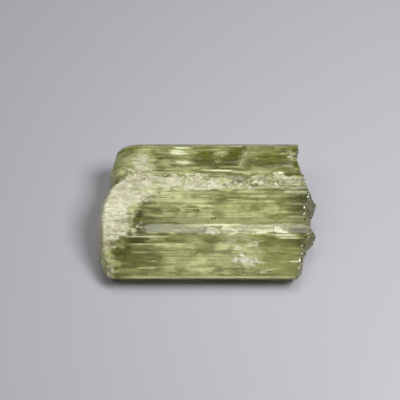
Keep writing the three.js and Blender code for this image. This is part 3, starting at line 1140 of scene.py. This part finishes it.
    def skin(self, x: Array, y: Array, wobble: Array) -> Array:
        """Works out how white the top is etched: left of SKIN_EDGE and in front of SKIN_BACK, and in patches.

        Args:
            x, y: the points.
            wobble: the noise that moves the skin's edge.

        Returns:
            Values from 0 to 1.
        """
        along, across = (reach * wobble for reach in self.skin_wobble)
        depth = follow(SKIN_EDGE, y + across) - x + along
        right, front = self.thinnest
        thin = np.maximum(right * smooth_step(*self.thin_right, x), front * smooth_step(*self.thin_front, y))
        thin = np.maximum(thin, covered(THINNED, x, y, wobble))
        patchy = 1.0 - thin - self.gap_depth * smooth_step(*self.gap_span, self.gaps.of(self.noise, x, y))
        rim = follow(SKIN_BACK, x) - y + across
        slab = smooth_step(*self.skin_edge, depth) * smooth_step(*self.skin_back, rim)
        marks = [covered(ETCHED, x, y, wobble), covered(CRACKED, x, y, wobble)]
        return np.max([slab * np.maximum(patchy, 0.0), *marks], axis=0)

    def stain_and_shade(self, x: Array, y: Array, wobble: Array) -> Array:
        """Works out how dark the underside is: painted shade under the dark windows, and real stains in
        blocks elsewhere.

        Args:
            x, y: the points.
            wobble: the noise that makes edges ragged.

        Returns:
            Values from 0 to 1.
        """
        pattern = self.patchy_stain.of(self.noise, x, y)
        blocks = self.patchy_share * smooth_step(*self.patchy_span, pattern)
        return np.maximum(blocks, covered(DARK, x, y - self.window_lean * self.top(x, y), wobble))

    def lit(self, lines: tuple[Laths, ...], x: Array, y: Array) -> Array:
        """Thin straight lines with gaps along the top, which fade at the etched end: where painted highlights
        and painted shade go.
        """
        arc = self.arc(y)
        return np.max([laths.lit(x, arc) for laths in lines], axis=0) * smooth_step(*self.lines_from, x)

    def clouds(self, x: Array, y: Array, wobble: Array) -> Array:
        """Works out the milky clouds: the patches, times a pattern of blocks and bands, times fine lines.

        Args:
            x, y: the points.
            wobble: the noise that makes edges ragged.

        Returns:
            How milky each point is, from 0 to cloud_limit.
        """
        arc = self.arc(y)
        bent = x + self.bend_reach * (self.bends.of(self.noise, x, arc) - 0.5)
        blocks = self.cloud_share[0] + self.cloud_share[1] * self.cloud.of(self.noise, bent, arc)
        blocks = blocks + self.band_share * (self.band.of(self.noise, bent, arc) - 0.5)
        contrast = self.line_contrast[0] + self.line_contrast[1] * smooth_step(*self.behind_steps, y)
        lines = 1.0 + contrast * (self.cloud_lines.of(self.noise, x, arc) - 0.5)
        return np.minimum(covered(MILKY, x, y, wobble) * blocks * lines, self.cloud_limit)

    def haze_and_glints(self, x: Array, y: Array, wobble: Array) -> Array:
        """Works out how milky the top is, with painted light: clouds and thin painted highlight lines,
        cleared over the painted-shade windows, and painted glints and edge highlights.

        Args:
            x, y: the points.
            wobble: the noise that makes edges ragged.

        Returns:
            Values from 0 to about 1, and above that on the brightest painted glints.
        """
        # painted highlight lines along the grooves, fewer at the front's right corner
        calm = smooth_step(*self.calm_right, x) * smooth_step(*self.calm_below, y)
        lines = (self.painted_highlight_line - self.calm_share * calm) * self.lit(self.painted_highlight_lines, x, y)
        clear = 1.0 - self.cleared * covered(DARK, x, y, wobble)
        whole = smooth_step(*self.glint_span, self.glint_gaps.of(self.noise, x, self.arc(y)))
        glints = covered(GLINTS, x, y, wobble) * (self.glint_share[0] + self.glint_share[1] * whole)
        glints = np.maximum(glints, covered(EDGE_HIGHLIGHTS, x, y, wobble))
        return np.maximum(np.maximum(self.clouds(x, y, wobble), lines) * clear, glints)

    def top_relief(self, x: Array, y: Array, skin: Array) -> Array:
        """Works out how far the top stands out: grooves along X, and lumps and grains where it's etched.

        Args:
            x, y: the points.
            skin: how white the top is etched.

        Returns:
            The height above the outline, in millimetres.
        """
        arc = self.arc(y)
        least, middle, end = self.depths
        deep = least + middle * smooth_step(*self.deep_from, x) + end * smooth_step(*self.deeper_from, x)
        shelf_ends = smooth_step(*self.shelf_left, x) + smooth_step(*self.shelf_right, x)
        deep = deep + shelf_ends * smooth_step(*self.shelf_half, np.abs(y - self.shelf_middle))
        grooves = deep * sum(laths.relief(x, arc) for laths in self.grooves)
        lumps = self.lumps.of(self.noise, x, arc) - 0.5
        belt = smooth_step(*self.belt_front, y) * smooth_step(*self.belt_back, y)
        belt = belt * smooth_step(*self.belt_left, x)
        tall = self.lump_height * (self.crumbly_share[0] + self.crumbly_share[1] * belt)
        grains = self.grains.of(self.noise, x, arc) - 0.5
        grit, speck = self.grit(x, y, self.wobble(x, y))
        etched = (tall * lumps + self.grain_height * grains) * skin
        return grooves + etched + self.pock_depth * grit * (speck - 0.5) - covered(PITS, x, y, lumps)

    def bottom_relief(self, x: Array, y: Array) -> Array:
        """Grooves that rise above the flat lands which the crystal rests on."""
        return np.maximum(self.bottom_grooves.of(self.noise, x, y) - 0.5, 0.0) * self.bottom_depth

    def build(self, material: bpy.types.Material) -> bpy.types.Object:
        """Makes the crystal's mesh and dresses it.

        Args:
            material: what it's made of.

        Returns:
            The piece.
        """
        shape = self.shape()
        points = shape.pop("points")
        loops, around, _ = points.shape
        j, i = np.meshgrid(np.arange(loops - 1), np.arange(around), indexing="ij")
        following = (i + 1) % around
        corners = [j * around + i, (j + 1) * around + i, (j + 1) * around + following, j * around + following]
        faces = np.stack(corners, axis=-1).reshape(-1, 4)
        piece = mesh_piece("hiddenite_crystal", points.reshape(-1, 3), faces, shape)
        piece.data.set_sharp_from_angle(angle=math.radians(self.sharp_angle))
        piece.data.materials.append(material)
        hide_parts(CAD_NODE)
        return piece


# ----------------------------------------------------------------------------------------------------
# Small grains, on the crystal and sealed in it


def ball(rings: int, around: int) -> tuple[Array, Array]:
    """Makes a faceted ball of radius 1: rings of corners between two poles, each turned half a step on.

    Args:
        rings: the rings of corners.
        around: the corners in a ring. One ring of four makes a double pyramid.

    Returns:
        Its corners and its triangles.
    """
    polar = (np.pi * np.arange(1, rings + 1) / (rings + 1))[:, None]
    turn = 2.0 * np.pi * (np.arange(around)[None, :] + 0.5 * np.arange(rings)[:, None]) / around
    corners = [np.sin(polar) * np.cos(turn), np.sin(polar) * np.sin(turn), np.cos(polar) + 0.0 * turn]
    poles = [(0.0, 0.0, 1.0), (0.0, 0.0, -1.0)]
    points = np.concatenate([np.stack(corners, axis=-1).reshape(-1, 3), poles])
    i = np.arange(around)
    j = (i + 1) % around
    pole = np.full(around, rings * around)
    last = (rings - 1) * around
    faces = [np.stack([i, j, pole], axis=-1), np.stack([last + j, last + i, pole + 1], axis=-1)]
    for upper in range(0, last, around):
        lower = upper + around
        faces.append(np.stack([upper + i, lower + i, upper + j], axis=-1))
        faces.append(np.stack([upper + j, lower + i, lower + j], axis=-1))
    return points, np.concatenate(faces)


@dataclass(frozen=True)
class Scatter:
    """Many copies of a small ball, each with its own size and turn.

    rings, around: as for ball. rough: how far each corner is moved in or out, as a share of the size. seed:
    chooses how the corners are moved.
    """

    rings: int
    around: int
    rough: float
    seed: int

    def at(self, centres: list[Array], halves: Array, turns: Array) -> tuple[Array, Array]:
        """Places the copies. A corner is the centre plus the ball's corner, sized and then turned.

        Args:
            centres: X, Y and Z of the middle of each copy.
            halves: half of each copy's size along its own three axes.
            turns: the angles in radians that each is turned by, about Z and then about Y.

        Returns:
            All the corners and all the triangles.
        """
        corners, sides = ball(self.rings, self.around)
        count = len(centres[0])
        drawn = np.random.default_rng(self.seed).random((count, len(corners), 1))
        sized = corners[None, :, :] * (1.0 + self.rough * (drawn - 0.5)) * halves[:, None, :]
        (cz, sz), (cy, sy) = ((np.cos(turns[:, k])[:, None], np.sin(turns[:, k])[:, None]) for k in (0, 1))
        x, y, z = sized[..., 0], sized[..., 1], sized[..., 2]
        x, y = x * cz - y * sz, x * sz + y * cz
        x, z = x * cy + z * sy, z * cy - x * sy
        points = np.stack(centres, axis=-1)[:, None, :] + np.stack([x, y, z], axis=-1)
        faces = sides[None, :, :] + len(corners) * np.arange(count)[:, None, None]
        return points.reshape(-1, 3), faces.reshape(-1, 3)


@dataclass
class Crumbs:
    """Grains of etched spodumene that stick up where the skin is thickest: the slab's rim and the left end.

    tries: places that are tried. size: half of a grain's. sizes: how much that varies, as a lognormal's
    sigma. shape: how much longer it is each way. along, near_rim, on_slab: where places are tried.
    """

    crystal: Crystal
    tries: int = 7000
    size: float = 0.08
    sizes: float = 0.4
    shape: tuple[float, float, float] = (1.5, 1.0, 0.9)
    shapes: Span = (0.7, 1.3)
    tilt: float = 0.3  # radians
    along: Span = (-13.4, 9.0)
    near_rim: Span = (2.0, 4.9)
    on_slab: Span = (-4.0, 5.0)
    rim_share: float = 0.5  # of the places, tried near the rim
    rim: float = 4.4
    rim_half: Span = (0.7, 0.0)
    rim_right: Span = (0.3, -0.7)
    rim_left: Span = (-7.0, -4.5)
    likely: tuple[float, float] = (0.25, 0.7)  # on the skin, and on the rim
    clumps: Grain = Grain(0.9, 0.6, (0.0, 0.0), 2)
    clump_span: Span = (0.4, 0.65)
    inset: float = 0.2
    frost: Span = (0.6, 1.0)
    balls: Scatter = Scatter(rings=3, around=6, rough=0.5, seed=5)
    seed: int = 8
    noise: Noise = field(default_factory=lambda: Noise(seed=71))

    def crowding(self, x: Array, y: Array) -> Array:
        """Works out how likely a grain is at each place: in clumps on the skin, and most on the rim.

        Args:
            x, y: the places.

        Returns:
            Values from 0 to 1.
        """
        skin = self.crystal.skin(x, y, self.crystal.wobble(x, y))
        clumps = smooth_step(*self.clump_span, self.clumps.of(self.noise, x, y))
        rim = smooth_step(*self.rim_half, np.abs(y - self.rim))
        rim = rim * smooth_step(*self.rim_right, x) * smooth_step(*self.rim_left, x)
        return self.likely[0] * skin**2 * clumps + self.likely[1] * rim * clumps

    def build(self, material: bpy.types.Material) -> bpy.types.Object:
        """Makes all the grains as one mesh.

        Args:
            material: what they're made of.

        Returns:
            The piece.
        """
        rng = np.random.default_rng(self.seed)
        x = rng.uniform(*self.along, self.tries)
        by_rim = rng.random(self.tries) < self.rim_share
        y = np.where(by_rim, rng.uniform(*self.near_rim, self.tries), rng.uniform(*self.on_slab, self.tries))
        kept = rng.random(self.tries) < self.crowding(x, y)
        left = follow(LEFT_END, y, self.crystal.width, self.crystal.length)
        kept &= x > left + self.inset + 2.0 * self.size
        x, y = x[kept], y[kept]
        count = len(x)
        halves = self.size * rng.lognormal(0.0, self.sizes, (count, 1))
        halves = halves * rng.uniform(*self.shapes, (count, 3)) * self.shape
        turns = rng.normal(0.0, self.tilt, (count, 2))
        points, faces = self.balls.at([x, y, self.crystal.outside(x, y)], halves, turns)
        frost = np.repeat(rng.uniform(*self.frost, count), len(points) // count)
        piece = mesh_piece("crumbs", points, faces, {"frost": frost})
        piece.data.materials.append(material)
        return piece


@dataclass
class Inclusions:
    """What is sealed in the crystal: fine tubes along X and the flakes of two healed cracks.

    tubes, flakes: how many of each. tube: half a tube's length and thickness, which is more than a real one's
    so that it shows. flake: half a flake's size each way. crack: the one under the front face. veil: the one
    across the ridge.
    """

    crystal: Crystal
    tubes: int = 240
    tube: tuple[float, float] = (0.8, 0.018)
    tube_lengths: float = 0.5  # how much they vary, as a lognormal's sigma
    tube_longest: float = 2.0
    tube_thicknesses: Span = (0.6, 1.4)
    tube_tilt: float = 0.01  # radians
    tubes_along: Span = (-9.5, 11.5)
    tubes_across: Span = (-8.4, 7.6)
    tubes_below: Span = (0.15, 2.0)  # under the top
    double_pyramids: Scatter = Scatter(rings=1, around=4, rough=0.0, seed=6)

    flakes: int = 700
    flake: tuple[float, float, float] = (0.14, 0.07, 0.01)
    flake_sizes: float = 0.4  # how much they vary, as a lognormal's sigma
    flake_turns: tuple[Span, Span] = ((-0.3, 0.4), (0.0, 0.3))  # mean and sigma in radians, about Z and Y
    plates: Scatter = Scatter(rings=1, around=6, rough=0.6, seed=9)
    front_share: float = 0.75  # of the flakes, in the front crack
    crack_spread: Span = (1.5, 0.6)  # how far the front crack spreads along and across its run
    crack_heart: Span = (4.9, -6.4)
    crack_run: Span = (0.85, -0.5)
    crack_side: Span = (0.5, 0.85)
    crack_below: tuple[float, float] = (0.12, 0.5)  # under the top: the least, and what is added at random
    veil_start: Span = (4.4, 5.9)
    veil_reach: Span = (1.5, 2.0)
    veil_bend: float = 1.6
    veil_thickness: float = 0.06
    veil_below: tuple[float, float] = (0.15, 2.0)
    inside_x: Span = (-1.0, 11.0)
    inside_y: Span = (-8.6, 8.0)
    seed: int = 14

    def fine_tubes(self, rng: np.random.Generator) -> tuple[Array, Array]:
        """Makes the tubes: thin double pyramids along X, spread through the upper half of the crystal.

        Args:
            rng: what draws their places and sizes.

        Returns:
            Their corners and triangles.
        """
        x, y = rng.uniform(*self.tubes_along, self.tubes), rng.uniform(*self.tubes_across, self.tubes)
        z = self.crystal.top(x, y) - rng.uniform(*self.tubes_below, self.tubes)
        length = self.tube[0] * rng.lognormal(0.0, self.tube_lengths, self.tubes)
        thick = self.tube[1] * rng.uniform(*self.tube_thicknesses, self.tubes)
        halves = np.stack([np.minimum(length, self.tube_longest), thick, thick], -1)
        return self.double_pyramids.at([x, y, z], halves, rng.normal(0.0, self.tube_tilt, (self.tubes, 2)))

    def healed_cracks(self, rng: np.random.Generator) -> tuple[Array, Array]:
        """Makes the flakes: a crack under the front face, thickest at its heart, and a curved veil.

        Args:
            rng: what draws their places and sizes.

        Returns:
            Their corners and triangles.
        """
        count = self.flakes
        front = rng.random(count) < self.front_share
        along, across = (rng.normal(0.0, spread, count) for spread in self.crack_spread)
        down = rng.uniform(0.0, 1.0, count)
        run, side, reach = self.crack_run, self.crack_side, self.veil_reach
        crack_x = self.crack_heart[0] + run[0] * along + side[0] * across
        crack_y = self.crack_heart[1] + run[1] * along + side[1] * across
        veil_x = self.veil_start[0] + reach[0] * down**self.veil_bend + self.veil_thickness * along
        x = np.clip(np.where(front, crack_x, veil_x), *self.inside_x)
        y = np.clip(np.where(front, crack_y, self.veil_start[1] + reach[1] * down), *self.inside_y)
        below = (least + more * rng.random(count) for least, more in (self.crack_below, self.veil_below))
        z = self.crystal.top(x, y) - np.where(front, *below)
        halves = np.array(self.flake) * rng.lognormal(0.0, self.flake_sizes, (count, 1))
        turns = [rng.normal(*turn, count) for turn in self.flake_turns]
        return self.plates.at([x, y, z], halves, np.stack(turns, -1))

    def build(self, material: bpy.types.Material) -> bpy.types.Object:
        """Makes all of them as one mesh.

        Args:
            material: what they're made of.

        Returns:
            The piece.
        """
        rng = np.random.default_rng(self.seed)
        tubes, tube_faces = self.fine_tubes(rng)
        flakes, flake_faces = self.healed_cracks(rng)
        faces = np.concatenate([tube_faces, flake_faces + len(tubes)])
        piece = mesh_piece("inclusions", np.concatenate([tubes, flakes]), faces, {})
        piece.data.materials.append(material)
        return piece


# ----------------------------------------------------------------------------------------------------
# The studio


@dataclass(frozen=True)
class Lamp:
    """A square soft lamp that points at the crystal.

    place: its middle, in millimetres. size: its side. power: in watts.
    """

    name: str
    place: tuple[float, float, float]
    size: float
    power: float

    def build(self) -> None:
        """Makes the lamp, which the camera doesn't see."""
        data = bpy.data.lights.new(self.name, "AREA")
        data.size, data.energy = self.size * MM, self.power
        lamp = bpy.data.objects.new(self.name, data)
        bpy.context.scene.collection.objects.link(lamp)
        lamp.location = Vector(self.place) * MM
        lamp.rotation_euler = (-lamp.location).to_track_quat("-Z", "Y").to_euler()
        lamp.visible_camera = False


@dataclass(frozen=True)
class Studio:
    """A plain pale table, soft light from behind and a camera that looks down from the front."""

    elevation: float = 60.0  # degrees
    distance: float = 220.0
    lens: float = 142.0
    clip: Span = (0.01, 10.0)  # metres
    aim: tuple[float, float, float] = (-0.9, 4.26, 0.0)
    gap: float = 0.03  # the crystal's air gap to the table
    table_half: float = 1500.0
    sky: str = "#bcbcc0"
    sky_strength: float = 0.14
    lamps: tuple[Lamp, ...] = (
        Lamp("softbox_behind", (10.0, 140.0, 330.0), 140.0, 0.18),
        Lamp("softbox_right", (88.0, -6.0, 150.0), 70.0, 0.275),
        Lamp("softbox_left", (-110.0, 0.0, 200.0), 110.0, 0.09),
    )
    clear_bounces: int = 24  # light crosses many surfaces inside the crystal
    diffuse_bounces: int = 10
    glossy_bounces: int = 12

    def camera(self) -> None:
        """Makes the camera."""
        data = bpy.data.cameras.new("camera")
        data.lens = self.lens
        data.clip_start, data.clip_end = self.clip
        camera = bpy.data.objects.new("camera", data)
        bpy.context.scene.collection.objects.link(camera)
        tilt = math.radians(self.elevation)
        back = Vector((0.0, -math.cos(tilt), math.sin(tilt)))
        camera.location = (Vector(self.aim) + back * self.distance) * MM
        camera.rotation_euler = (math.radians(90.0 - self.elevation), 0.0, 0.0)
        bpy.context.scene.camera = camera

    def floor(self) -> None:
        """Makes the table."""
        corners = np.array([(-1, -1, 0), (1, -1, 0), (1, 1, 0), (-1, 1, 0)]) * self.table_half
        corners[:, 2] = -self.gap
        mesh = bpy.data.meshes.new("table")
        mesh.from_pydata((corners * MM).tolist(), [], [(0, 1, 2, 3)])
        mesh.materials.append(TABLE_PAINT.build())
        table = bpy.data.objects.new("table", mesh)
        bpy.context.scene.collection.objects.link(table)

    def world(self) -> None:
        """Makes the light that comes from all around."""
        world = bpy.data.worlds.new("world")
        world.use_nodes = True
        background = world.node_tree.nodes["Background"]
        background.inputs["Color"].default_value = linear(self.sky)
        background.inputs["Strength"].default_value = self.sky_strength
        bpy.context.scene.world = world

    def build(self) -> None:
        """Makes the whole studio, with enough bounces of light for a clear crystal."""
        self.camera()
        self.floor()
        for lamp in self.lamps:
            lamp.build()
        self.world()
        scene = bpy.context.scene
        scene.view_settings.view_transform = "Standard"
        scene.cycles.max_bounces = self.clear_bounces
        scene.cycles.transmission_bounces = self.clear_bounces
        scene.cycles.transparent_max_bounces = self.clear_bounces
        scene.cycles.diffuse_bounces = self.diffuse_bounces
        scene.cycles.glossy_bounces = self.glossy_bounces


def main() -> None:
    """Builds the crystal and the studio around the frame."""
    logging.basicConfig(level=logging.INFO, format="%(message)s")
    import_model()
    Studio().build()
    spodumene = Spodumene().build()
    crystal = Crystal(*FULL_SIZE)
    pieces = [
        crystal.build(spodumene),
        Crumbs(crystal).build(spodumene),
        Inclusions(crystal).build(HEALED_CRACK.build()),
    ]
    for piece in pieces:
        log.info("%s: %d faces", piece.name, len(piece.data.polygons))


if __name__ == "__main__":
    main()
